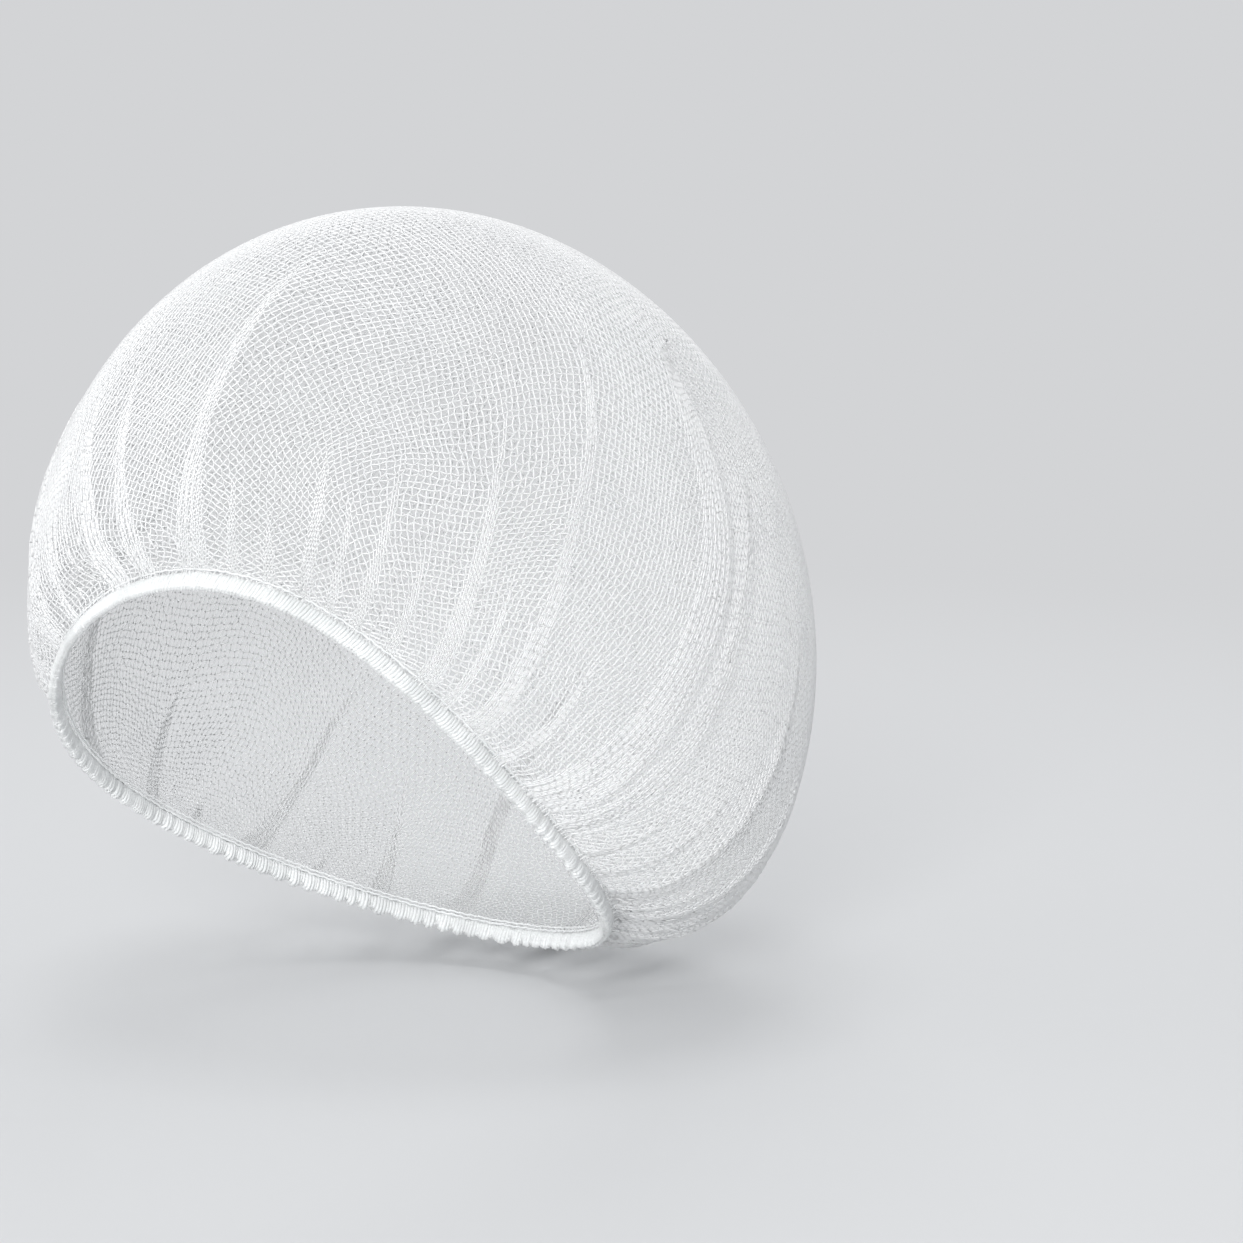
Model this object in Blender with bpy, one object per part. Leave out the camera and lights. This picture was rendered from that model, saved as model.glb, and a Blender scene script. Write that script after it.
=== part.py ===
"""A disposable hairnet, held open as it is worn: a round bag of net on an oval elastic band.

Everything is built round the band. Its centre is the origin, +Z is up on an upright head, the brow
lies towards -Y and the nape towards +Y. The plane of the band leans, high at the brow and low at the
nape, so the crown of the net points up and back. Directions around the band are given in degrees:
0 at the brow, 90 at the +X ear, 180 at the nape, 270 at the -X ear.
"""

import math

import bmesh
import bpy
import numpy as np

MM = 0.001

# Elastic band, an upright cuff 5 mm wide round the opening
BAND_HALF_WIDTH = 77.0 * MM  # ear to ear, from the centre to the middle of the cuff
BAND_HALF_LENGTH = 103.0 * MM  # brow to nape, along the leaning plane
BAND_LEAN = math.radians(36.8)  # the band's plane against the horizontal
BAND_RISE = 8.0 * MM  # how far the band waves out of its plane
BAND_HEIGHT = 5.0 * MM  # of the cuff, towards the crown
BAND_THICKNESS = 2.2 * MM
BAND_PUFF = 0.35 * MM  # how far the overlocked edge swells between two stitches
BAND_PUFFS = 112  # swellings round the whole band, about 5 mm apart
SEAM_GAP = 0.3 * MM  # between the cuff's upper edge and the rim of the net

# Net bag, measured to the middle of its wall
NET_HALF_WIDTH = 108.0 * MM  # ear to ear where it is widest
NET_HALF_LENGTH = 140.0 * MM  # brow to nape where it is widest
NET_SET_BACK = 16.0 * MM  # the widest part hangs this far behind the band's centre
NET_BULGE_LEVEL = 58.0 * MM  # height of the widest part above the band's plane
NET_CROWN = 123.0 * MM  # height of the crown above the widest part
NET_WALL = 1.0 * MM
RIM_TURN = math.radians(80.0)  # arc of the wall that curls in from the widest part to the band
FOLD_HEIGHT = 4.6 * MM  # the deepest pleat stands this far off the bag
GATHER_HEIGHT = 1.8 * MM  # small puckers just above the band

NET_COLUMNS = 112  # round the bag, four to each main gather
CROWN_ROWS = 8
RIM_ROWS = 9
BAND_SIDES = 8

# How the band waves out of its plane: waves round the band, share of BAND_RISE that peaks at the
# brow, share of BAND_RISE that peaks a quarter wave on
BAND_WAVES = (
    # waves, at_brow, quarter_on
    (2, 1.00, 0.38),
    (3, 0.16, 0.13),
)

# Pleats that run from the band up to the crown. foot, waist and tip are directions in degrees at the
# band, at the widest level and at the upper end; reach is the level of the upper end, 0 at the crown
# and 1 at the band; width is in degrees; height is a share of FOLD_HEIGHT. A pleat has its steep edge
# on the path and slopes away on the side that the sign of its width names.
PLEATS = (
    # foot, waist, tip, reach, width, height
    (0, 1, 6, 0.32, 9, 0.80),
    (24, 20, 17, 0.55, 6, 0.45),
    (34, 30, 27, 0.50, 6, 0.40),
    (48, 42, 38, 0.42, 9, 0.70),
    (59, 53, 40, 0.30, 8, 0.85),
    (73, 74, 43, 0.25, 12, 1.00),
    (89, 83, 76, 0.32, -10, 0.90),
    (109, 102, 98, 0.40, 11, 0.80),
    (124, 116, 112, 0.42, 9, 0.70),
    (141, 136, 128, 0.38, 9, 0.60),
    (158, 160, 166, 0.34, -8, 0.75),
    (176, 180, 184, 0.45, 8, 0.55),
    (196, 201, 190, 0.30, 10, 0.90),
    (214, 218, 224, 0.42, -8, 0.60),
    (236, 232, 226, 0.36, 10, 0.80),
    (255, 258, 262, 0.50, 7, 0.50),
    (273, 279, 270, 0.34, -10, 0.90),
    (296, 301, 305, 0.46, 8, 0.65),
    (315, 318, 312, 0.38, 9, 0.75),
    (342, 336, 328, 0.46, 8, 0.70),
    (350, 345, 338, 0.44, 7, 0.65),
)

# Small puckers above the band: how many round the band, their share of GATHER_HEIGHT, and where in
# its wave each set starts, in degrees
GATHERS = (
    # count, share, start
    (28, 0.60, 20.0),
    (17, 0.40, 75.0),
)

BACK_AXIS = np.array((0.0, math.sin(BAND_LEAN), math.cos(BAND_LEAN)))  # from the band to the crown
BROW_AXIS = np.array((0.0, -math.cos(BAND_LEAN), math.sin(BAND_LEAN)))  # in the plane, to the brow
SIDE_AXIS = np.array((1.0, 0.0, 0.0))


def unit(vectors):
    """The same directions at length one."""
    return vectors / np.linalg.norm(vectors, axis=-1, keepdims=True)


def smooth_step(x):
    """0 below 0, 1 above 1 and an even S between."""
    x = np.clip(x, 0.0, 1.0)
    return x * x * (3.0 - 2.0 * x)


def from_band_axes(side, brow, back):
    """Points given along the band's own three axes, in the object's axes."""
    return side[..., None] * SIDE_AXIS + brow[..., None] * BROW_AXIS + back[..., None] * BACK_AXIS


def band_wave(around):
    """Height of the band's centre line above its plane in each direction around it."""
    return sum(
        BAND_RISE * (at_brow * np.cos(waves * around) + quarter_on * np.sin(waves * around))
        for waves, at_brow, quarter_on in BAND_WAVES
    )


def band_line(around):
    """The middle of the cuff: an oval that waves out of its plane."""
    side = BAND_HALF_WIDTH * np.sin(around)
    brow = BAND_HALF_LENGTH * np.cos(around)
    return from_band_axes(side, brow, band_wave(around))


def band_directions(around):
    """Outward and crownward directions of the cuff, both square to its run."""
    step = 1e-4
    along = unit(band_line(around + step) - band_line(around - step))
    outward = unit(np.cross(along, np.broadcast_to(BACK_AXIS, along.shape)))
    outward *= np.sign(np.sum(outward * band_line(around), axis=-1, keepdims=True))
    crownward = np.cross(outward, along)
    crownward *= np.sign(crownward @ BACK_AXIS)[..., None]
    return outward, crownward


def rim_line(around):
    """The middle of the net's lower end, which lies a seam's gap above the cuff."""
    crownward = band_directions(around)[1]
    return band_line(around) + (BAND_HEIGHT / 2 + SEAM_GAP + NET_WALL / 2) * crownward


def smooth_bag(around, level):
    """The bag without its folds. level runs from 0 at the crown through 0.5 at the widest part to 1
    at the rim: an ellipsoid above, and below it a wall that curls in along part of an ellipse."""
    wide_side = NET_HALF_WIDTH * np.sin(around)
    wide_brow = NET_HALF_LENGTH * np.cos(around)
    rise = np.clip(2.0 * level, 0.0, 1.0) * math.pi / 2
    crown_part = from_band_axes(
        wide_side * np.sin(rise),
        wide_brow * np.sin(rise) - NET_SET_BACK,
        NET_BULGE_LEVEL + NET_CROWN * np.cos(rise),
    )
    turn = np.clip(2.0 * level - 1.0, 0.0, 1.0) * RIM_TURN
    widest = from_band_axes(wide_side, wide_brow - NET_SET_BACK, np.full_like(around, NET_BULGE_LEVEL))
    to_rim = rim_line(around) - widest
    down = (to_rim @ BACK_AXIS)[..., None] * BACK_AXIS
    inward = to_rim - down
    share_in = (1.0 - np.cos(turn)) / (1.0 - math.cos(RIM_TURN))
    share_down = np.sin(turn) / math.sin(RIM_TURN)
    rim_part = widest + inward * share_in[..., None] + down * share_down[..., None]
    return np.where((level <= 0.5)[..., None], crown_part, rim_part)


def pleat_path(level, foot, waist, tip, reach):
    """Direction of a pleat's steep edge at each level, in degrees."""
    below = waist + (foot - waist) * (2.0 * level - 1.0)
    above = waist + (tip - waist) * ((0.5 - level) / (0.5 - reach)) ** 2 if reach < 0.5 else waist
    return np.where(level > 0.5, below, above)


def pleat_height(around, level):
    """How far the pleats stand off the bag. Across, each is steep on its path and falls away in a
    square curve; along, it grows out of the crown and flattens again at the rim."""
    degrees = np.degrees(around)
    total = np.zeros_like(around)
    for foot, waist, tip, reach, width, height in PLEATS:
        offset = degrees - pleat_path(level, foot, waist, tip, reach)
        offset = (offset + 180.0) % 360.0 - 180.0
        across = offset / width
        steep_edge = smooth_step(1.0 + across * 4.0)
        slope = np.clip(1.0 - across, 0.0, 1.0) ** 2
        shape = np.where(across < 0.0, steep_edge, slope)
        along = smooth_step((level - reach) / 0.24) * (1.0 - smooth_step((level - 0.82) / 0.18))
        total = np.maximum(total, FOLD_HEIGHT * height * shape * along)
    return total


def gather_height(around, level):
    """Small puckers that fade out halfway to the widest part and are pressed flat at the rim."""
    along = smooth_step((level - 0.62) / 0.25) * (1.0 - smooth_step((level - 0.90) / 0.10))
    waves = sum(
        share * np.cos(count * around + math.radians(start)) for count, share, start in GATHERS
    )
    return GATHER_HEIGHT * waves * along


def net_sheet(around, level):
    """The bag with its pleats and gathers, moved along its own normals."""
    step = 1e-3
    low = np.clip(level, step, 1.0 - step)
    across = smooth_bag(around + step, low) - smooth_bag(around - step, low)
    down = smooth_bag(around, low + step) - smooth_bag(around, low - step)
    outward = unit(np.cross(across, down))
    centre = from_band_axes(*np.array((0.0, -NET_SET_BACK, NET_BULGE_LEVEL)))
    outward *= np.sign(np.sum(outward * (smooth_bag(around, level) - centre), axis=-1, keepdims=True))
    height = pleat_height(around, level) + gather_height(around, level)
    return smooth_bag(around, level) + height[..., None] * outward


def principled(name, colour, roughness, subsurface):
    """A Principled BSDF for a white textile."""
    material = bpy.data.materials.new(name)
    material.use_nodes = True
    shader = material.node_tree.nodes["Principled BSDF"]
    shader.inputs["Base Color"].default_value = (*colour, 1.0)
    shader.inputs["Roughness"].default_value = roughness
    shader.inputs["Metallic"].default_value = 0.0
    shader.inputs["Subsurface Weight"].default_value = subsurface
    return material


def add_object(name, rings, pole, closed_along, material):
    """A mesh of rings, each joined to the next. A pole closes the first ring to a point, and with
    closed_along the last ring is joined to the first."""
    mesh = bmesh.new()
    loops = [[mesh.verts.new(point) for point in ring] for ring in rings]
    pairs = list(zip(loops, loops[1:] + loops[:1])) if closed_along else list(zip(loops, loops[1:]))
    for upper, lower in pairs:
        for i, corner in enumerate(upper):
            following = (i + 1) % len(upper)
            mesh.faces.new((corner, upper[following], lower[following], lower[i]))
    if pole is not None:
        top = mesh.verts.new(pole)
        for i, corner in enumerate(loops[0]):
            mesh.faces.new((top, loops[0][(i + 1) % len(loops[0])], corner))
    bmesh.ops.recalc_face_normals(mesh, faces=mesh.faces)
    data = bpy.data.meshes.new(name)
    mesh.to_mesh(data)
    mesh.free()
    data.shade_smooth()
    data.materials.append(material)
    body = bpy.data.objects.new(name, data)
    bpy.context.collection.objects.link(body)
    return body


def make_net_crown():
    """The hollow bag: one pleated sheet from the crown to the rim, thickened to the net's wall."""
    around = np.arange(NET_COLUMNS) * 2.0 * math.pi / NET_COLUMNS
    crown_levels = 0.5 * (np.arange(1, CROWN_ROWS + 1) / CROWN_ROWS)
    rim_levels = 0.5 + 0.5 * np.arange(1, RIM_ROWS + 1) / RIM_ROWS
    rings = [net_sheet(around, np.full_like(around, level)) for level in (*crown_levels, *rim_levels)]
    pole = smooth_bag(np.zeros(1), np.zeros(1))[0]
    net = add_object("net_crown", rings, pole, False, principled("net", (0.94, 0.95, 0.95), 0.6, 0.2))
    wall = net.modifiers.new("wall", "SOLIDIFY")
    wall.thickness = NET_WALL
    wall.offset = 0.0
    wall.use_quality_normals = True
    return net


def make_elastic_band():
    """The cuff: an oval section carried round the band's line, its lower edge swelling in puffs."""
    stations = 2 * BAND_PUFFS
    around = np.arange(stations) * 2.0 * math.pi / stations
    line = band_line(around)
    outward, crownward = band_directions(around)
    puff = np.where(np.arange(stations) % 2 == 0, BAND_PUFF, -BAND_PUFF)
    angles = (np.arange(BAND_SIDES) + 0.5) * 2.0 * math.pi / BAND_SIDES
    rings = []
    for i in range(stations):
        across = (BAND_THICKNESS / 2 + 0.5 * puff[i]) * np.sign(np.cos(angles)) * np.abs(np.cos(angles)) ** 0.7
        upright = (BAND_HEIGHT / 2 + puff[i] * (np.sin(angles) < 0)) * np.sin(angles)
        rings.append(line[i] + across[:, None] * outward[i] + upright[:, None] * crownward[i])
    return add_object(
        "elastic_band", rings, None, True, principled("band", (0.97, 0.98, 0.98), 0.7, 0.15)
    )


for old in list(bpy.data.objects):
    bpy.data.objects.remove(old, do_unlink=True)

make_elastic_band()
make_net_crown()
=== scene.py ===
"""Looks of the disposable hairnet: the net's threads, the overlocked elastic band and the studio.

The net is made as the real one is. A flat round of square mesh is laid out, its edge is gathered to
the length of the band in many small tucks, the cloth is crushed together in the larger pleats, and
the gathered round is spread over the bag's form. Every thread is a thin tube along that path.
Directions around the band are in radians: 0 at the brow (-Y), a quarter turn at the +X ear. Levels
run from 0 at the crown through 0.5 at the widest part to 1 at the rim.
"""

import math

import bpy
import numpy as np
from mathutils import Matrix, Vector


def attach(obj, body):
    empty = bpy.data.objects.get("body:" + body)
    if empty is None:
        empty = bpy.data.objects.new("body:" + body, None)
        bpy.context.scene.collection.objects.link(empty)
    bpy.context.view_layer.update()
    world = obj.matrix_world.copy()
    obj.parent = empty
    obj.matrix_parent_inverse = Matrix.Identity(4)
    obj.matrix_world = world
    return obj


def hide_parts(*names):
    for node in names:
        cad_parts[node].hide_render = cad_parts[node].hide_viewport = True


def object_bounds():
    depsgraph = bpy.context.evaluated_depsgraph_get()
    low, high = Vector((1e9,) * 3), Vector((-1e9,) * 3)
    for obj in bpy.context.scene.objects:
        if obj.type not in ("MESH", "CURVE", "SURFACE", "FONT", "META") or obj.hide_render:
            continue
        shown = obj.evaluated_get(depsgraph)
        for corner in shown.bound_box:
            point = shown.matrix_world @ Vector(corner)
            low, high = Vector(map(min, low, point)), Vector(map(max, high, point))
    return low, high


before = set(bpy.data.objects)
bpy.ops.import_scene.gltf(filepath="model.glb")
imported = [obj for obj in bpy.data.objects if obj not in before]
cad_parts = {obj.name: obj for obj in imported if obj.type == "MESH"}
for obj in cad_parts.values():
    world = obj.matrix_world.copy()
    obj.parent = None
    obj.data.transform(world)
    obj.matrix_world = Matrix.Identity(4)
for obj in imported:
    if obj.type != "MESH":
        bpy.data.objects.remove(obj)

CAD_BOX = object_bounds()

MM = 0.001
TURN = 2.0 * math.pi

# The band, as in the frame: an upright oval cuff that waves out of a leaning plane
BAND_HALF_WIDTH = 77.0 * MM
BAND_HALF_LENGTH = 103.0 * MM
BAND_LEAN = math.radians(36.8)
BAND_RISE = 8.0 * MM
BAND_HEIGHT = 5.0 * MM
BAND_THICKNESS = 2.2 * MM
BAND_WAVES = (
    # waves, at_brow, quarter_on: shares of BAND_RISE
    (2, 1.00, 0.38),
    (3, 0.16, 0.13),
)

# The overlocked elastic
PUFF = 5.0 * MM  # from one swelling of the cuff to the next
PUFF_DEPTH = 0.6 * MM
PUFF_TOP = 0.3  # share of the depth on the cuff's upper edge
PUFF_BROW = 0.15  # share of the depth at the brow
PUFF_SINK = 0.2  # share of the depth by which the swellings lie further in
PUFF_STRAY = (
    # radians, waves round the band, start: how the swellings crowd and spread
    (1.1, 17.0, 0.0),
    (0.7, 29.0, 1.0),
)
PUFF_UNEVEN = 0.35  # how far their depths differ, as a share
PUFF_UNEVEN_WAVES = 23.0
SECTION_POWER = 0.8  # of the cuff's oval section: 1 gives an ellipse and 0 a box
CORE_STATIONS = 1100
CORE_SIDES = 14
CORE_INSET = (0.2 * MM, 0.3 * MM)  # below the cuff's faces and below its edges
WRAP = 1.0 * MM  # from one overlock thread to the next
WRAP_RADIUS = 0.75 * MM
WRAP_STEPS = 14  # to a turn
WRAP_SLANT = 0.45  # how far a turn leans to and fro, in wraps
WRAP_START = 0.7  # radians by which that lean runs ahead of the turn
WRAP_STRAY = 0.12  # how far a turn strays from its place, in wraps
WRAP_INSET = (0.35 * MM, 0.45 * MM)
BAND_TUBE_SIDES = 4  # of the tubes on the band
BAND_LENGTH_STEPS = 4000
SEAM_RADIUS = 0.32 * MM
SEAM_STEPS = 2400
SEAM_SWAY = (
    # depth in mm, waves round the band
    (0.12, 190),
    (0.08, 67),
)
SEAMS = (
    # thread, outward, crownward, in mm from the middle of the band
    ("seam_thread_inner", -1.0, 3.9),
    ("seam_thread_middle", -1.3, 2.7),
    ("seam_thread_outer", 1.2, 3.1),
)

# The bag's form, to the middle of its wall
NET_HALF_WIDTH = 108.0 * MM
NET_HALF_LENGTH = 140.0 * MM
NET_SET_BACK = 16.0 * MM  # of the bag's middle, from the band's towards the nape
NET_BULGE_LEVEL = 58.0 * MM  # of the widest part, over the band
NET_CROWN = 123.0 * MM  # from there to the crown
RIM_TURN = math.radians(80.0)  # of the ellipse that the wall follows in to the rim
RIM_LIFT = 0.8 * MM  # the net's end above the cuff, with the seam's gap and half the wall

# The net's cloth
NET_PIECES = ("net_brow_right", "net_nape_right", "net_nape_left", "net_brow_left")
FLAT_RADIUS = 266.5 * MM  # a 21 inch round
MESH = 2.2 * MM  # from thread to thread
MESH_TURN = math.radians(28.0)  # of the mesh's rows against the brow
THREAD_SIDES = 3
THREAD_RADIUS = 0.25 * MM  # to the corners of a three-sided tube, about 0.4 mm across as seen
RAGGED = 0.17  # how far a knot strays from its place, in meshes
ZIGZAG = 0.12  # how far every second knot lies to one side, in meshes
DRAWN = (
    # depth, length along x, length along y, start in radians: waves that skew the mesh, in mm
    (3.4, 1e9, 93.0, 1.0),
    (0.7, 61.0, 47.0, 2.2),
    (3.0, 107.0, -150.0, 0.4),
)
CALM_EDGE = 60.0 * MM  # breadth of the rim over which those waves die away
IN_THE_BAND = 2.4 * MM  # length of thread caught in the overlocked edge
END_ROOM = 0.3  # least way from a thread's last knot to the rim, in meshes
STRAY_STEPS = (12.9898, 78.233)  # along the sine that scatters, for each of two numbers
STRAY_SCALE = 43758.5453

# The drape's tables: levels and directions of the bag, then rows and columns of the cloth
LEVELS = 241
DIRECTIONS = 721
DRAPE_ROWS = 260
DRAPE_COLUMNS = 6000

# Pleats
PLEAT_SPREAD = 1.3  # a pleat's whole breadth, as a share of its width
CRUSHED = 5.3  # cloth pushed together in a pleat, as a share of its width
RIB_HEIGHT = 0.45 * MM
PLEAT_GROWTH = 0.15  # levels over which a pleat grows from its upper end to its full width
PLEAT_CHANGE = 0.45  # levels below the widest over which it goes from its middle to its rim width
LEAST_WIDTH = 1e-7  # of a pleat that hasn't begun, which keeps the tables rising
FOLD_HEIGHT = 1.1 * MM
FOLD_WIDTH = math.radians(9.0)
FOLD_STEEP = 4.0  # times that a fold rises faster than it falls
FOLD_GROWTH = 0.24  # levels over which a fold rises from its upper end
FOLD_END = 0.82  # level from which it goes flat, within FOLD_FADE
FOLD_FADE = 0.18
# foot, waist and tip: direction in degrees at the band, at the widest level and at the upper end;
# reach: level of the upper end; rim and middle: width in mm at the band and at the widest level, whose
# sign at the rim says to which side the pleat lies from the edge that shows; ribs: how many run along
# it; lift: share of FOLD_HEIGHT
PLEATS = (
    # foot, waist, tip, reach, rim, middle, ribs, lift
    (0, 1, 6, 0.32, 6.4, 2.8, 4, 0.80),
    (10, 8, 8, 0.66, 2.4, 0.3, 4, 0.30),
    (17, 14, 14, 0.72, 2.0, 0.3, 4, 0.30),
    (24, 20, 17, 0.55, 2.8, 1.2, 4, 0.45),
    (29, 25, 25, 0.62, 2.2, 0.3, 4, 0.30),
    (34, 30, 27, 0.50, 2.6, 1.2, 4, 0.40),
    (41, 36, 36, 0.66, 2.6, 0.3, 4, 0.30),
    (48, 42, 38, 0.42, 4.8, 2.4, 4, 0.70),
    (54, 48, 48, 0.60, 2.2, 0.3, 4, 0.30),
    (59, 53, 40, 0.30, 5.4, 2.8, 4, 0.85),
    (67, 64, 64, 0.64, 2.8, 0.3, 4, 0.30),
    (82, 79, 50, 0.25, -11.0, 9.0, 6, 1.40),
    (89, 84, 77, 0.32, -6.4, 3.4, 4, 0.90),
    (94, 89, 89, 0.68, 2.4, 0.3, 4, 0.30),
    (101, 96, 96, 0.62, 2.8, 0.3, 4, 0.30),
    (109, 102, 98, 0.40, 8.0, 5.0, 4, 0.80),
    (119, 112, 112, 0.70, 2.2, 0.3, 4, 0.30),
    (124, 116, 112, 0.42, 7.0, 4.5, 4, 0.70),
    (134, 128, 128, 0.66, 2.6, 0.3, 4, 0.30),
    (141, 136, 128, 0.38, 7.5, 2.2, 4, 0.60),
    (158, 160, 166, 0.34, -8.0, 2.6, 4, 0.75),
    (167, 170, 170, 0.68, 2.6, 0.3, 4, 0.30),
    (176, 180, 184, 0.45, 7.0, 2.0, 4, 0.55),
    (188, 190, 190, 0.62, 2.8, 0.3, 4, 0.30),
    (196, 201, 190, 0.30, 7.0, 4.0, 4, 0.90),
    (214, 218, 224, 0.42, -7.0, 2.0, 4, 0.60),
    (224, 225, 225, 0.66, 2.8, 0.3, 4, 0.30),
    (236, 232, 226, 0.36, 8.0, 2.6, 4, 0.80),
    (248, 247, 247, 0.70, 2.4, 0.3, 4, 0.30),
    (255, 258, 262, 0.50, 6.0, 1.6, 4, 0.50),
    (273, 279, 270, 0.34, -8.0, 2.8, 4, 0.90),
    (284, 287, 287, 0.64, 2.8, 0.3, 4, 0.30),
    (296, 301, 305, 0.46, 5.6, 2.2, 4, 0.65),
    (306, 309, 309, 0.68, 2.4, 0.3, 4, 0.30),
    (315, 318, 312, 0.38, 8.0, 5.0, 4, 0.75),
    (327, 328, 328, 0.62, 2.8, 0.3, 4, 0.30),
    (342, 336, 328, 0.46, 6.4, 2.6, 4, 0.70),
    (350, 345, 338, 0.44, 4.8, 2.2, 4, 0.65),
)

# Small gathers just above the band
GATHER_COUNT = 150
GATHER_TUCK = 1.1 * MM  # cloth laid back in each at the rim
GATHER_LIFT = 0.4 * MM
GATHER_START = 0.60  # level where the longest begins; the shortest begins GATHER_SPREAD further down
GATHER_SPREAD = 0.28
GATHER_FULL = 0.97  # level where all are fully laid
GATHER_RISE = 0.3  # levels over which their lift grows
GATHER_UNEVEN = 0.45  # how far the tucks differ, as a share
GATHER_TURN = 0.45  # where the cloth turns back, in shares of a gather's pitch
GATHER_STRAY = 0.2  # how far that place strays, in the same shares
GATHER_SWAY = (0.06, 30.0, 5.0)  # depth in the same shares, radians per level, radians per gather
LEAST_TUCK = 1e-8  # of a gather that hasn't begun

# Yarns
YARN_IOR = 1.53  # of nylon and of polyester
SCATTERED = 0.6  # share of the light that goes in among the filaments
SCATTER_DEPTH = 0.6 * MM  # how far it spreads there
SHEEN_ROUGHNESS = 0.5
CURL_DEPTH = 0.08 * MM
CURL_STRENGTH = 0.5
ROUGH_IN_CURLS = 0.62
ROUGH_ON_CURLS = 0.42
TONE_RANGE = (0.12, 0.40)  # of the mixed noise, from the painted shade in the curls' hollows and the duller patches to the light on the curls' tops
DULL_PATCH = 14.0 * MM  # size of the patches whose threads are a little duller

# Camera and studio
CAMERA_AZIMUTH = math.radians(33.5)
CAMERA_ELEVATION = math.radians(10.0)
CAMERA_DISTANCE = 1.1
NEAREST = 0.05
SENSOR = 36.0  # width in mm
PHOTO_SIZE = 1243.0
PHOTO_PIXEL = 0.2875 * MM  # real size of a pixel at the band
ORIGIN_PIXEL = (340.5, 794.0)  # where the band's centre lies in the photo
FLOOR_GAP = 2.0 * MM
FLOOR_RADIUS = 4.0
FLOOR_CORNERS = 96
FADE_START = 0.35  # from the middle, where the floor begins to fade into the surround
FADE_END = 1.2
SURROUND = "#D3D4D6"
PAPER = "#D6D7D8"
PAPER_ROUGHNESS = 0.9
LIGHT_AIM = (0.0, 0.03, 0.03)
LIGHTS = (
    # name, place, size, power in watts
    ("key", (0.85, -2.05, 0.75), 0.7, 26.5),
    ("side", (-1.5, -1.2, 1.3), 1.2, 1.2),
    ("low", (0.3, -1.5, -0.02), 0.5, 8.0),
    ("back", (-0.9, 1.9, 1.3), 1.2, 15.0),
    ("top", (0.0, -0.2, 2.2), 0.9, 6.5),
)

# Node inputs and outputs that share a name with others of their node, by number
FROM_LOW, FROM_HIGH, TO_LOW, TO_HIGH = 1, 2, 3, 4
MIX_A, MIX_B, MIX_COLOUR = 6, 7, 2

BACK_AXIS = np.array((0.0, math.sin(BAND_LEAN), math.cos(BAND_LEAN)))
BROW_AXIS = np.array((0.0, -math.cos(BAND_LEAN), math.sin(BAND_LEAN)))
SIDE_AXIS = np.array((1.0, 0.0, 0.0))


def unit(vectors):
    """The same directions at length one."""
    return vectors / np.linalg.norm(vectors, axis=-1, keepdims=True)


def smooth_step(x):
    """0 below 0, 1 above 1, and 3x^2 - 2x^3 between."""
    x = np.clip(x, 0.0, 1.0)
    return x * x * (3.0 - 2.0 * x)


def stray(a, b):
    """An even scatter from -1 to 1 that depends on two numbers only: the fraction of a large multiple
    of a sine."""
    wave = np.sin(a * STRAY_STEPS[0] + b * STRAY_STEPS[1]) * STRAY_SCALE
    return 2.0 * (wave - np.floor(wave)) - 1.0


def from_band_axes(side, brow, back):
    """Points given along the band's own three axes, in the object's axes."""
    return side[..., None] * SIDE_AXIS + brow[..., None] * BROW_AXIS + back[..., None] * BACK_AXIS


def band_line(around):
    """The middle of the cuff: an ellipse plus two and three waves out of its plane."""
    wave = sum(
        BAND_RISE * (at_brow * np.cos(waves * around) + quarter_on * np.sin(waves * around))
        for waves, at_brow, quarter_on in BAND_WAVES
    )
    return from_band_axes(BAND_HALF_WIDTH * np.sin(around), BAND_HALF_LENGTH * np.cos(around), wave)


def band_directions(around):
    """Along the band, outward and crownward, all square to one another, by small differences."""
    step = 1e-4
    along = unit(band_line(around + step) - band_line(around - step))
    outward = unit(np.cross(along, np.broadcast_to(BACK_AXIS, along.shape)))
    outward *= np.sign(np.sum(outward * band_line(around), axis=-1, keepdims=True))
    crownward = np.cross(outward, along)
    crownward *= np.sign(crownward @ BACK_AXIS)[..., None]
    return along, outward, crownward


def smooth_bag(around, level):
    """The bag without folds: an ellipsoid down to the widest part, then a wall that curls in to the
    rim along part of an ellipse."""
    wide_side = NET_HALF_WIDTH * np.sin(around)
    wide_brow = NET_HALF_LENGTH * np.cos(around)
    rise = np.clip(2.0 * level, 0.0, 1.0) * math.pi / 2
    crown_part = from_band_axes(
        wide_side * np.sin(rise),
        wide_brow * np.sin(rise) - NET_SET_BACK,
        NET_BULGE_LEVEL + NET_CROWN * np.cos(rise),
    )
    turn = np.clip(2.0 * level - 1.0, 0.0, 1.0) * RIM_TURN
    widest = from_band_axes(wide_side, wide_brow - NET_SET_BACK, np.full_like(around, NET_BULGE_LEVEL))
    crownward = band_directions(around)[2]
    to_rim = band_line(around) + (BAND_HEIGHT / 2 + RIM_LIFT) * crownward - widest
    down = (to_rim @ BACK_AXIS)[..., None] * BACK_AXIS
    share_in = (1.0 - np.cos(turn)) / (1.0 - math.cos(RIM_TURN))
    share_down = np.sin(turn) / math.sin(RIM_TURN)
    rim_part = widest + (to_rim - down) * share_in[..., None] + down * share_down[..., None]
    return np.where((level <= 0.5)[..., None], crown_part, rim_part)


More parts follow.
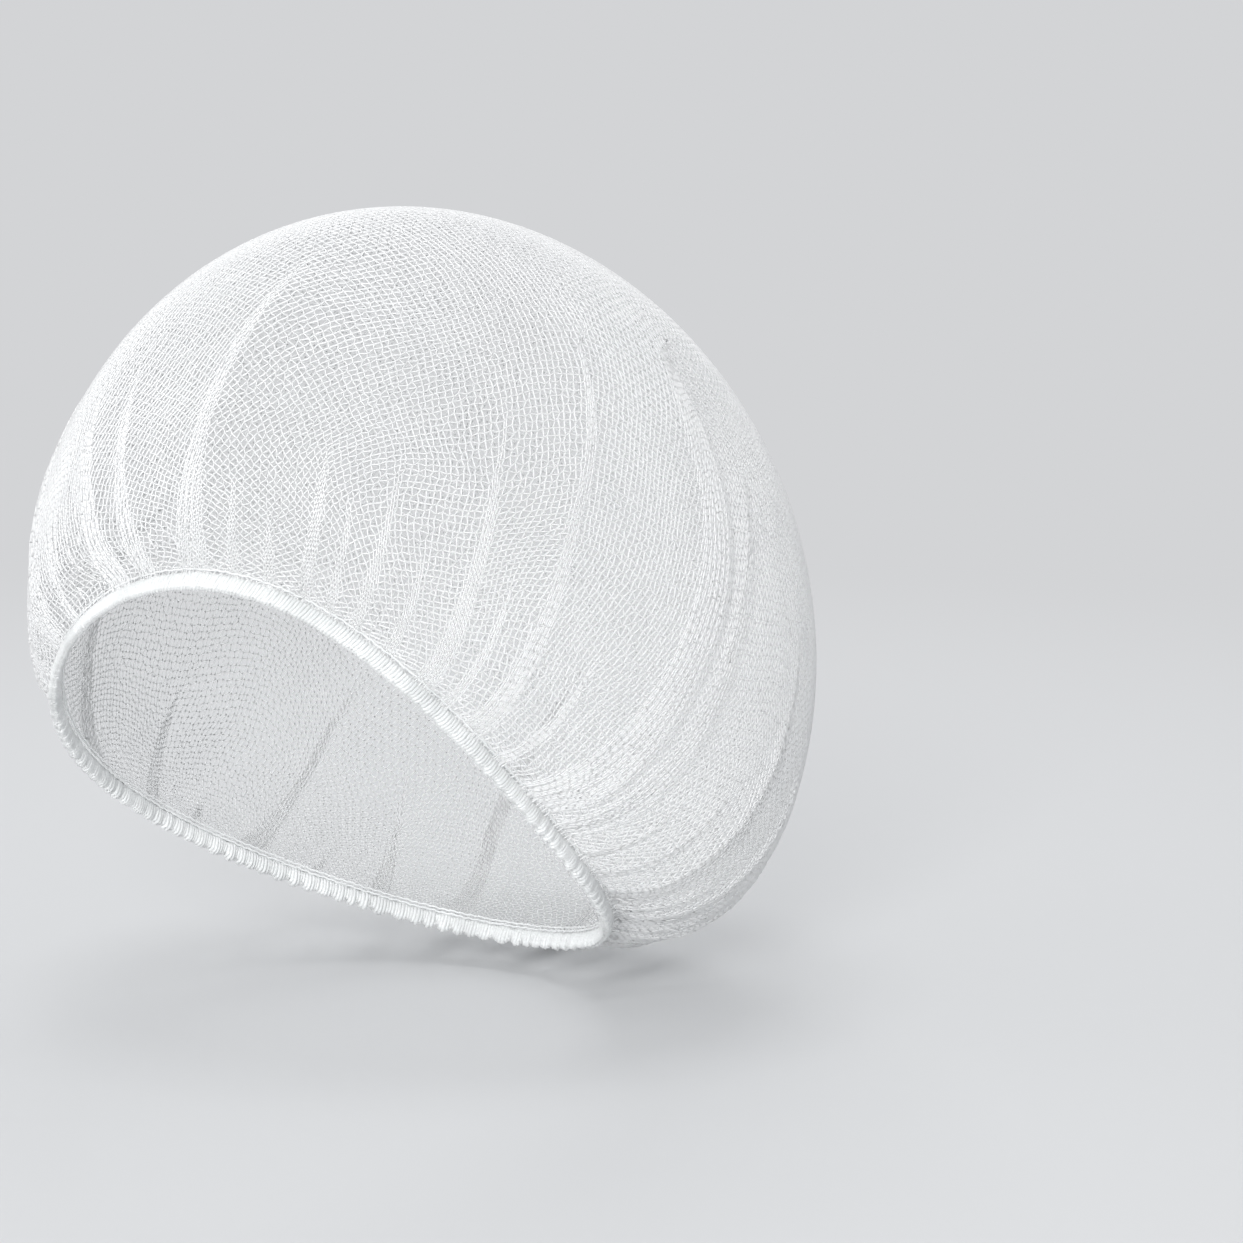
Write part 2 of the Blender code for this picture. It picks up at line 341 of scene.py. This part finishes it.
def bag_normal(around, level):
    """Outward direction of the smooth bag, from the cross product of two small differences."""
    step = 1e-3
    low = np.clip(level, 2.0 * step, 1.0 - step)
    across = smooth_bag(around + step, low) - smooth_bag(around - step, low)
    down = smooth_bag(around, low + step) - smooth_bag(around, low - step)
    normal = unit(np.cross(across, down))
    centre = NET_BULGE_LEVEL * BACK_AXIS - NET_SET_BACK * BROW_AXIS
    return normal * np.sign(np.sum(normal * (smooth_bag(around, low) - centre), axis=-1, keepdims=True))


def level_tables(levels, directions):
    """For each level: its distance from the crown as a share of the whole way to the rim, averaged
    over the directions, and the length of the bag's outline there up to each direction."""
    around, level = np.meshgrid(directions, levels)
    points = smooth_bag(around, level)
    down = np.linalg.norm(np.diff(points, axis=0), axis=-1).mean(axis=1)
    distance = np.concatenate(([0.0], np.cumsum(down)))
    steps = np.linalg.norm(np.diff(points, axis=1), axis=-1)
    outline = np.concatenate((np.zeros((len(levels), 1)), np.cumsum(steps, axis=1)), axis=1)
    return distance / distance[-1], outline


def pleat_direction(level, foot, waist, tip, reach):
    """Direction in degrees of a pleat's visible edge: straight from the foot to the waist, then a
    square curve on to the tip."""
    if level > 0.5:
        return waist + (foot - waist) * (2.0 * level - 1.0)
    if reach < 0.5:
        return waist + (tip - waist) * ((0.5 - max(level, reach)) / (0.5 - reach)) ** 2
    return waist


def gathered(flat_share, flat_length, level):
    """Lays the small gathers: (place, length, lift) of the cloth at each share of its way round.
    In every gather the cloth runs on, turns back by the tuck and runs on again."""
    number = np.arange(GATHER_COUNT)
    begin = GATHER_START + GATHER_SPREAD * (0.5 + 0.5 * stray(number, 11.0))
    grown = smooth_step((level - begin) / (GATHER_FULL - begin))
    pitch = flat_length / GATHER_COUNT
    tucks = GATHER_TUCK * (1.0 + GATHER_UNEVEN * stray(number, 3.0)) * grown + LEAST_TUCK
    start = number * pitch
    depth, by_level, by_number = GATHER_SWAY
    sway = depth * np.sin(by_level * level + by_number * number)
    turn = start + pitch * (GATHER_TURN + GATHER_STRAY * stray(number, 7.0) + sway)
    back = turn + tucks
    lost = np.concatenate(([0.0], np.cumsum(2.0 * tucks)))
    cloth = np.column_stack((start, turn, back)).ravel()
    place = np.column_stack((start - lost[:-1], turn - lost[:-1], turn - tucks - lost[:-1])).ravel()
    lift = np.tile((0.0, 0.0, 1.0), GATHER_COUNT)
    x = flat_share * flat_length
    length = flat_length - lost[-1]
    cloth = np.append(cloth, flat_length)
    places = np.interp(x, cloth, np.append(place, length))
    lifts = np.interp(x, cloth, np.append(lift, 0.0))
    risen = float(smooth_step((level - GATHER_START) / GATHER_RISE))
    return places, length, lifts * GATHER_LIFT * risen


def pleated(place, cloth_length, outline_length, outline_at, level):
    """Lays the large pleats: (place on the bag's outline, lift) of each place on the gathered cloth.
    Between pleats the cloth runs on, a little eased. In a pleat it is pushed together evenly, about
    four times as close, and lifted in a few even ribs, each one wave of a cosine."""
    lower = float(smooth_step((level - 0.5) / PLEAT_CHANGE))
    starts, breadths, ribbing = [], [], []
    for foot, waist, tip, reach, rim, middle, ribs, _ in PLEATS:
        grown = float(smooth_step((level - reach) / PLEAT_GROWTH))
        edge = outline_at(math.radians(pleat_direction(level, foot, waist, tip, reach)))
        width = (middle + (abs(rim) - middle) * lower) * MM * grown + LEAST_WIDTH
        breadths.append(PLEAT_SPREAD * width)
        starts.append(edge if rim > 0 else edge - PLEAT_SPREAD * width)
        ribbing.append((ribs, RIB_HEIGHT * grown))
    starts, breadths = np.array(starts), np.array(breadths)
    inside = breadths * CRUSHED / PLEAT_SPREAD
    runs = np.append(starts[1:], starts[0] + outline_length) - starts - breadths
    ease = runs.sum() / (cloth_length - inside.sum())
    first = np.concatenate(([0.0], np.cumsum(inside + runs / ease)[:-1]))
    knots = np.column_stack((first, first + inside))
    places = np.column_stack((starts, starts + breadths))
    knots -= cloth_length * np.mean(knots / cloth_length - places / outline_length)
    cloth = np.concatenate([knots.ravel() + turn * cloth_length for turn in (-1, 0, 1)])
    outline = np.concatenate([places.ravel() + turn * outline_length for turn in (-1, 0, 1)])
    height = np.zeros_like(place)
    for (begin, end), (ribs, rib_height) in zip(knots, ribbing):
        middle = 0.5 * (begin + end)
        x = (place - middle + 0.5 * cloth_length) % cloth_length - 0.5 * cloth_length + middle
        share = np.clip((x - begin) / (end - begin), 0.0, 1.0)
        height += rib_height * (0.5 - 0.5 * np.cos(TURN * ribs * share))
    return np.interp(place, cloth, outline), height


def ridges(direction, level):
    """The pleats' broad form: from each edge steeply up and in a square curve down, the highest of
    all counts."""
    height = np.zeros_like(direction)
    for foot, waist, tip, reach, rim, _, _, lift in PLEATS:
        edge = math.radians(pleat_direction(level, foot, waist, tip, reach))
        across = (direction - edge + math.pi) % TURN - math.pi
        across *= math.copysign(1.0, rim) / FOLD_WIDTH
        form = smooth_step(1.0 + FOLD_STEEP * across) * (1.0 - np.clip(across, 0.0, 1.0)) ** 2
        begun = float(smooth_step((level - reach) / FOLD_GROWTH))
        ended = float(smooth_step((level - FOLD_END) / FOLD_FADE))
        height = np.maximum(height, lift * begun * (1.0 - ended) * form)
    return FOLD_HEIGHT * height


def drape_tables():
    """The cloth's whole drape on a grid: for each share of the way from crown to rim, its level, and
    for each share of the way round too, how far round the bag it lies beyond its own share, and its
    lift."""
    rows, columns = DRAPE_ROWS, DRAPE_COLUMNS
    directions = np.linspace(0.0, TURN, DIRECTIONS)
    levels = np.linspace(0.0, 1.0, LEVELS)
    distance, outline = level_tables(levels, directions)
    shares = np.linspace(0.0, 1.0, rows)
    level_of = np.interp(shares, distance, levels)
    round_share = np.arange(columns) / columns
    shift = np.zeros((rows, columns + 1))
    lift = np.zeros((rows, columns + 1))
    for row in range(1, rows):
        level = level_of[row]
        lengths = outline[min(int(round(level * (LEVELS - 1))), LEVELS - 1)]
        whole = lengths[-1]
        cloth = TURN * FLAT_RADIUS * shares[row]

        def outline_at(direction):
            turns = math.floor(direction / TURN)
            return turns * whole + float(np.interp(direction - turns * TURN, directions, lengths))

        place, length, small_lift = gathered(round_share, cloth, level)
        place, large_lift = pleated(place, length, whole, outline_at, level)
        turns = np.floor(place / whole)
        direction = turns * TURN + np.interp(place - turns * whole, lengths, directions)
        shift[row, :-1] = direction - round_share * TURN
        lift[row, :-1] = small_lift + large_lift + ridges(direction, level)
    shift[0] = shift[1]
    shift[:, -1] = shift[:, 0]
    lift[:, -1] = lift[:, 0]
    return level_of, shift, lift


def sample(table, row, column):
    """A table's value between its rows and columns, in straight proportion. The last row and column
    are only just not reached, so that there is always a next one."""
    just_over_one = 1.000001
    row = np.clip(row, 0.0, table.shape[0] - just_over_one)
    column = np.clip(column, 0.0, table.shape[1] - just_over_one)
    r, c = row.astype(int), column.astype(int)
    dr, dc = row - r, column - c
    upper = table[r, c] * (1.0 - dc) + table[r, c + 1] * dc
    lower = table[r + 1, c] * (1.0 - dc) + table[r + 1, c + 1] * dc
    return upper * (1.0 - dr) + lower * dr


def drape(flat):
    """Points of the flat round laid over the bag by the tables, and the bag's normals there. What
    lies beyond the round goes straight down into the band."""
    level_of, shift, lift = drape_tables()
    radius = np.hypot(flat[:, 0], flat[:, 1])
    own = np.arctan2(flat[:, 0], flat[:, 1]) % TURN
    row = np.clip(radius / FLAT_RADIUS, 0.0, 1.0) * (DRAPE_ROWS - 1)
    column = own / TURN * DRAPE_COLUMNS
    around = own + sample(shift, row, column)
    level = np.interp(row, np.arange(DRAPE_ROWS), level_of)
    normal = bag_normal(around, level)
    points = smooth_bag(around, level) + sample(lift, row, column)[:, None] * normal
    beyond = np.clip(radius - FLAT_RADIUS, 0.0, None)
    points -= beyond[:, None] * band_directions(around)[2]
    return points, normal


def drawn(flat):
    """The flat mesh pulled askew by a few long waves that die away towards the rim."""
    x, y = flat[:, 0] / MM, flat[:, 1] / MM
    calm = smooth_step((FLAT_RADIUS - np.hypot(flat[:, 0], flat[:, 1])) / CALM_EDGE)
    moved = flat.copy()
    for number, (depth, along_x, along_y, start) in enumerate(DRAWN):
        wave = depth * MM * calm * np.sin(TURN * (x / along_x + y / along_y) + start)
        moved[:, number % 2] += wave
    return moved


def mesh_lines():
    """The threads of the flat round: (flat points, thread numbers). Threads of two sets cross on a
    square grid, each knot strays a little, each way by a scatter of its own, and both ends run on
    into the band."""
    reach = FLAT_RADIUS + IN_THE_BAND
    most = int(FLAT_RADIUS / MESH)
    points, owner = [], []
    cos_turn, sin_turn = math.cos(MESH_TURN), math.sin(MESH_TURN)
    for across in (0, 1):
        for line in range(-most, most + 1):
            here = line * MESH
            half = math.sqrt(max(FLAT_RADIUS**2 - here**2, 0.0))
            count = int((half - END_ROOM * MESH) / MESH)
            knots = np.arange(-count, count + 1)
            same = np.full_like(knots, line)
            first, second = (same, knots) if across == 0 else (knots, same)
            end = math.sqrt(reach**2 - here**2)
            side = ZIGZAG * (1 - 2 * ((first + second) % 2))
            x = MESH * (first + side + RAGGED * stray(first, second + 0.37))
            y = MESH * (second - side + RAGGED * stray(second + 0.71, first))
            tip = np.array((here, end) if across == 0 else (end, here))
            tail = np.array((here, -end) if across == 0 else (-end, here))
            run = np.vstack((tail, np.column_stack((x, y)), tip))
            points.append(run)
            owner.append(np.full(len(run), len(owner)))
    flat = drawn(np.concatenate(points))
    x = flat[:, 0] * cos_turn - flat[:, 1] * sin_turn
    y = flat[:, 0] * sin_turn + flat[:, 1] * cos_turn
    return np.column_stack((x, y)), np.concatenate(owner)


def ring_of(angles, beside, upright):
    """Directions at each angle from the way beside towards the way upright, for every point."""
    cosine, sine = np.cos(angles)[None, :, None], np.sin(angles)[None, :, None]
    return cosine * beside[:, None, :] + sine * upright[:, None, :]


def rings_round(points, owner, normal, radius, sides):
    """A ring of corners round each point of each thread, square to its run, one of them straight up
    from the net."""
    following = np.roll(points, -1, axis=0)
    previous = np.roll(points, 1, axis=0)
    last = np.roll(owner, -1) != owner
    first = np.roll(owner, 1) != owner
    following[last] = points[last]
    previous[first] = points[first]
    along = unit(following - previous)
    beside = unit(np.cross(normal, along))
    upright = np.cross(along, beside)
    angles = (np.arange(sides) + 0.25 * sides) * TURN / sides
    return points[:, None, :] + radius * ring_of(angles, beside, upright)


def add_mesh(name, corners, quads, material):
    """A smooth-shaded mesh object at the origin from arrays of corners and four-cornered faces."""
    data = bpy.data.meshes.new(name)
    data.vertices.add(len(corners))
    data.vertices.foreach_set("co", corners.astype(np.float32).ravel())
    data.loops.add(quads.size)
    data.loops.foreach_set("vertex_index", quads.astype(np.int32).ravel())
    data.polygons.add(len(quads))
    data.polygons.foreach_set("loop_start", np.arange(0, quads.size, 4, dtype=np.int32))
    data.update(calc_edges=True)
    data.validate()
    data.shade_smooth()
    data.materials.append(material)
    piece = bpy.data.objects.new(name, data)
    bpy.context.scene.collection.objects.link(piece)
    return piece


def tube_faces(starts, sides):
    """Faces of the tube from each start's ring of corners to the next ring."""
    side = np.arange(sides)
    a = starts[:, None] * sides + side
    b = starts[:, None] * sides + (side + 1) % sides
    return np.stack((a, b, b + sides, a + sides), axis=-1).reshape(-1, 4)


def make_net(material):
    """The net's threads, in a quarter of the flat round each."""
    flat, owner = mesh_lines()
    points, normal = drape(flat)
    corners = rings_round(points, owner, normal, THREAD_RADIUS, THREAD_SIDES)
    starts = np.flatnonzero(owner[1:] == owner[:-1])
    middle = 0.5 * (flat[starts] + flat[starts + 1])
    quarter = (np.arctan2(middle[:, 0], middle[:, 1]) % TURN // (TURN / 4)).astype(int)
    for number, name in enumerate(NET_PIECES):
        quads = tube_faces(starts[quarter == number], THREAD_SIDES)
        used, renumbered = np.unique(quads, return_inverse=True)
        piece = add_mesh(name, corners.reshape(-1, 3)[used], renumbered.reshape(-1, 4), material)
        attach(piece, "root")
        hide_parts("net_crown")


def linear(colour):
    """An sRGB hex colour as linear RGBA."""
    parts = [int(colour[i : i + 2], 16) / 255.0 for i in (1, 3, 5)]
    return (*[p / 12.92 if p <= 0.04045 else ((p + 0.055) / 1.055) ** 2.4 for p in parts], 1.0)


def node(tree, kind, settings=None, links=None):
    """Adds a node with its settings, and its links as {input: (node, output)}. Inputs are given by
    name or number."""
    made = tree.nodes.new(kind)
    for key, value in (settings or {}).items():
        if isinstance(key, int) or key in made.inputs:
            made.inputs[key].default_value = value
        else:
            setattr(made, key, value)
    for key, (source, output) in (links or {}).items():
        tree.links.new(source.outputs[output], made.inputs[key])
    return made


def yarn(name, light, shade, crimp, fuzz):
    """A textured yarn: light and shade are its two tones, crimp the length of its curls and fuzz the
    share of its soft outer fibres. Fine noise at the crimp's length gives curls, as bumps and as tone:
    painted shade in their hollows, lighter on their tops. A broad noise makes some threads a little
    duller. Both noises run by the object's own coordinates."""
    material = bpy.data.materials.new(name)
    material.use_nodes = True
    tree = material.node_tree
    shader = tree.nodes["Principled BSDF"]
    place = node(tree, "ShaderNodeTexCoord")
    fine = {"Scale": 1.0 / crimp, "Detail": 2.0}
    curls = node(tree, "ShaderNodeTexNoise", fine, {0: (place, "Object")})
    wide = {"Scale": 1.0 / DULL_PATCH, "Detail": 1.0}
    broad = node(tree, "ShaderNodeTexNoise", wide, {0: (place, "Object")})
    # The tone follows the curls' bump: painted shade in their hollows, lighter on their tops, and
    # duller where the broad noise is low
    mixed = node(tree, "ShaderNodeMath", {"operation": "MULTIPLY"}, {0: (curls, 0), 1: (broad, 0)})
    toning = {FROM_LOW: TONE_RANGE[0], FROM_HIGH: TONE_RANGE[1]}
    tone = node(tree, "ShaderNodeMapRange", toning, {0: (mixed, 0)})
    tones = {"data_type": "RGBA", MIX_A: linear(shade), MIX_B: linear(light)}
    colour = node(tree, "ShaderNodeMix", tones, {0: (tone, 0)})
    tree.links.new(colour.outputs[MIX_COLOUR], shader.inputs["Base Color"])
    roughness = {TO_LOW: ROUGH_IN_CURLS, TO_HIGH: ROUGH_ON_CURLS}
    rough = node(tree, "ShaderNodeMapRange", roughness, {0: (curls, 0)})
    tree.links.new(rough.outputs[0], shader.inputs["Roughness"])
    depth = {"Strength": CURL_STRENGTH, "Distance": CURL_DEPTH}
    bump = node(tree, "ShaderNodeBump", depth, {"Height": (curls, 0)})
    tree.links.new(bump.outputs[0], shader.inputs["Normal"])
    shader.inputs["IOR"].default_value = YARN_IOR
    shader.inputs["Subsurface Weight"].default_value = SCATTERED
    shader.inputs["Subsurface Radius"].default_value = (1.0, 1.0, 1.0)
    shader.inputs["Subsurface Scale"].default_value = SCATTER_DEPTH
    shader.inputs["Sheen Weight"].default_value = fuzz
    shader.inputs["Sheen Roughness"].default_value = SHEEN_ROUGHNESS
    return material


def band_run():
    """Even steps of direction round the band, and the length of the band up to each."""
    around = np.linspace(0.0, TURN, BAND_LENGTH_STEPS + 1)
    steps = np.linalg.norm(np.diff(band_line(around), axis=0), axis=-1)
    distance = np.concatenate(([0.0], np.cumsum(steps)))
    return around, distance


def band_point(distance_along, across, upright):
    """Points given along the band's length, outward from its middle and crownward."""
    around, distance = band_run()
    direction = np.interp(distance_along % distance[-1], distance, around)
    _, outward, crownward = band_directions(direction)
    return band_line(direction) + across[..., None] * outward + upright[..., None] * crownward


def puffed(distance_along, angle):
    """Growth of the cuff's section: a cosine along the band with a wave every few millimetres, whose
    phase strays by two sines and whose depth varies by one, strongest on the cuff's lower edge and at
    the nape."""
    length = band_run()[1][-1]
    count = round(length / PUFF)
    share = distance_along / length
    phase = share * count * TURN
    lower = PUFF_TOP + (1.0 - PUFF_TOP) * smooth_step(0.5 - np.sin(angle))
    nape = PUFF_BROW + (1.0 - PUFF_BROW) * (0.5 - 0.5 * np.cos(share * TURN))
    strayed = sum(by * np.sin(waves * TURN * share + start) for by, waves, start in PUFF_STRAY)
    depth = PUFF_DEPTH * (1.0 + PUFF_UNEVEN * np.sin(PUFF_UNEVEN_WAVES * TURN * share))
    return depth * lower * nape * (np.cos(phase + strayed) - PUFF_SINK)


def on_cuff(distance_along, angle, inset):
    """Points on the puffed cuff, lying in by so much: at each angle of its section, an oval between
    an ellipse and a box (cosine and sine to a power below one), plus its growth there."""
    cosine, sine = np.cos(angle), np.sin(angle)
    across = (BAND_THICKNESS / 2 - inset[0]) * np.sign(cosine) * np.abs(cosine) ** SECTION_POWER
    upright = (BAND_HEIGHT / 2 - inset[1]) * np.sign(sine) * np.abs(sine) ** SECTION_POWER
    grow = puffed(distance_along, angle)
    return band_point(distance_along, across + grow * cosine, upright + grow * sine)


def closed_tube(name, path, radius, sides, material):
    """A tube round a closed path, its rings set by the path's own run and the way out from the
    band's centre line."""
    following = np.roll(path, -1, axis=0)
    previous = np.roll(path, 1, axis=0)
    along = unit(following - previous)
    outward = unit(path)
    beside = unit(np.cross(outward, along))
    upright = np.cross(along, beside)
    angles = np.arange(sides) * TURN / sides
    corners = (path[:, None, :] + radius * ring_of(angles, beside, upright)).reshape(-1, 3)
    quads = tube_faces(np.arange(len(path)), sides) % len(corners)
    return add_mesh(name, corners, quads, material)


def band_core(material):
    """The elastic's puffed core: its section at even steps round the band."""
    along = np.arange(CORE_STATIONS) / CORE_STATIONS * band_run()[1][-1]
    angles = np.arange(CORE_SIDES) * TURN / CORE_SIDES
    along, angles = np.meshgrid(along, angles, indexing="ij")
    corners = on_cuff(along, angles, CORE_INSET).reshape(-1, 3)
    quads = tube_faces(np.arange(CORE_STATIONS), CORE_SIDES) % len(corners)
    return add_mesh("band_core", corners, quads, material)


def overlock_thread(material):
    """One thread wound over the core from end to end, each turn leaning to and fro by a sine."""
    length = band_run()[1][-1]
    turns = round(length / WRAP)
    wound = np.arange(turns * WRAP_STEPS) / WRAP_STEPS
    angles = wound * TURN
    slant = WRAP_SLANT * WRAP * np.sin(angles + WRAP_START)
    along = wound / turns * length + slant + WRAP_STRAY * WRAP * stray(np.floor(wound), 1.0)
    path = on_cuff(along, angles, WRAP_INSET)
    return closed_tube("overlock_thread", path, WRAP_RADIUS, BAND_TUBE_SIDES, material)


def seam_thread(name, across, height, material):
    """A thread round the band, so far outward and crownward in mm, swaying up and down by sines."""
    length = band_run()[1][-1]
    along = np.arange(SEAM_STEPS) / SEAM_STEPS * length
    sway = sum(depth * MM * np.sin(along / length * TURN * waves) for depth, waves in SEAM_SWAY)
    path = band_point(along, np.full(SEAM_STEPS, across * MM), height * MM + sway)
    return closed_tube(name, path, SEAM_RADIUS, BAND_TUBE_SIDES, material)


def make_band(material):
    """The overlocked elastic: a puffed core, the thread wound over it and the seam threads."""
    pieces = [band_core(material), overlock_thread(material)]
    pieces += [seam_thread(*seam, material) for seam in SEAMS]
    for piece in pieces:
        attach(piece, "root")
        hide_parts("elastic_band")


def make_camera():
    """Level camera at the photo's angle, shifted so that the band's centre falls on its pixel."""
    data = bpy.data.cameras.new("camera")
    camera = bpy.data.objects.new("camera", data)
    bpy.context.scene.collection.objects.link(camera)
    away = np.array((
        math.sin(CAMERA_AZIMUTH) * math.cos(CAMERA_ELEVATION),
        -math.cos(CAMERA_AZIMUTH) * math.cos(CAMERA_ELEVATION),
        math.sin(CAMERA_ELEVATION),
    ))
    camera.location = away * CAMERA_DISTANCE
    camera.rotation_euler = (math.pi / 2 - CAMERA_ELEVATION, 0.0, CAMERA_AZIMUTH)
    data.sensor_width = SENSOR
    data.lens = SENSOR * CAMERA_DISTANCE / (PHOTO_SIZE * PHOTO_PIXEL)
    data.shift_x = 0.5 - ORIGIN_PIXEL[0] / PHOTO_SIZE
    data.shift_y = ORIGIN_PIXEL[1] / PHOTO_SIZE - 0.5
    data.clip_start = NEAREST
    bpy.context.scene.camera = camera


def add_light(name, place, size, power):
    """A square soft light at a place, facing the bag, unseen by the camera."""
    data = bpy.data.lights.new(name, "AREA")
    data.shape = "SQUARE"
    data.size = size
    data.energy = power
    light = bpy.data.objects.new(name, data)
    bpy.context.scene.collection.objects.link(light)
    light.location = place
    aim = np.array(LIGHT_AIM) - np.array(place)
    yaw = math.atan2(aim[1], aim[0]) - math.pi / 2
    pitch = math.atan2(aim[2], math.hypot(aim[0], aim[1])) + math.pi / 2
    light.rotation_euler = (pitch, 0.0, yaw)
    light.visible_camera = False


def make_studio():
    """A pale floor just below the net that fades into an even surround, and soft lights. Matt pale
    paper has no highlight, so all that shows on it is the soft shadow."""
    low = CAD_BOX[0][2] - FLOOR_GAP
    angles = np.arange(FLOOR_CORNERS) * TURN / FLOOR_CORNERS
    flat = FLOOR_RADIUS * np.column_stack((np.cos(angles), np.sin(angles)))
    rim = np.column_stack((flat, np.full(FLOOR_CORNERS, low)))
    data = bpy.data.meshes.new("floor")
    data.from_pydata(rim.tolist(), [], [tuple(range(FLOOR_CORNERS))])
    floor = bpy.data.objects.new("floor", data)
    bpy.context.scene.collection.objects.link(floor)
    material = bpy.data.materials.new("matt_pale_paper")
    material.use_nodes = True
    tree = material.node_tree
    shader = tree.nodes["Principled BSDF"]
    shader.inputs["Roughness"].default_value = PAPER_ROUGHNESS
    shader.inputs["Specular IOR Level"].default_value = 0.0
    shader.inputs["Emission Color"].default_value = linear(SURROUND)
    place = node(tree, "ShaderNodeTexCoord")
    far = node(tree, "ShaderNodeVectorMath", {"operation": "LENGTH"}, {0: (place, "Object")})
    fading = {"interpolation_type": "SMOOTHSTEP", FROM_LOW: FADE_START, FROM_HIGH: FADE_END}
    fade = node(tree, "ShaderNodeMapRange", fading, {0: (far, "Value")})
    tones = {"data_type": "RGBA", MIX_A: linear(PAPER), MIX_B: (0.0, 0.0, 0.0, 1.0)}
    paper = node(tree, "ShaderNodeMix", tones, {0: (fade, 0)})
    tree.links.new(paper.outputs[MIX_COLOUR], shader.inputs["Base Color"])
    tree.links.new(fade.outputs[0], shader.inputs["Emission Strength"])
    data.materials.append(material)
    world = bpy.data.worlds.new("studio")
    bpy.context.scene.world = world
    world.use_nodes = True
    world.node_tree.nodes["Background"].inputs["Color"].default_value = linear(SURROUND)
    for light in LIGHTS:
        add_light(*light)
    bpy.context.scene.view_settings.view_transform = "Standard"


make_camera()
# Textured nylon 6 yarn, white and undyed: crimped filaments lie loosely side by side, so it looks
# milky and soft with no hard highlight. Crimp of 0.35 mm, drawn as coarse as it needs to show.
# Its darker tone is painted shade in the curls' hollows, with a few duller patches.
NET_YARN = yarn("textured_nylon_yarn", "#FCFDFD", "#F3F4F5", 0.35 * MM, 0.25)
# Bulked polyester yarn, overlocked close over covered rubber: no gap shows between its turns, so it
# reads as solid white, a little fuzzier than the net, with a fine grain of darker specks: painted
# shade in the hollows of its curls, and some duller patches. Crimp of 0.5 mm, drawn as coarse as it
# needs to show.
BAND_YARN = yarn("overlocked_polyester_yarn", "#F1F3F3", "#D9DBDB", 0.5 * MM, 0.30)
make_net(NET_YARN)
make_band(BAND_YARN)
make_studio()
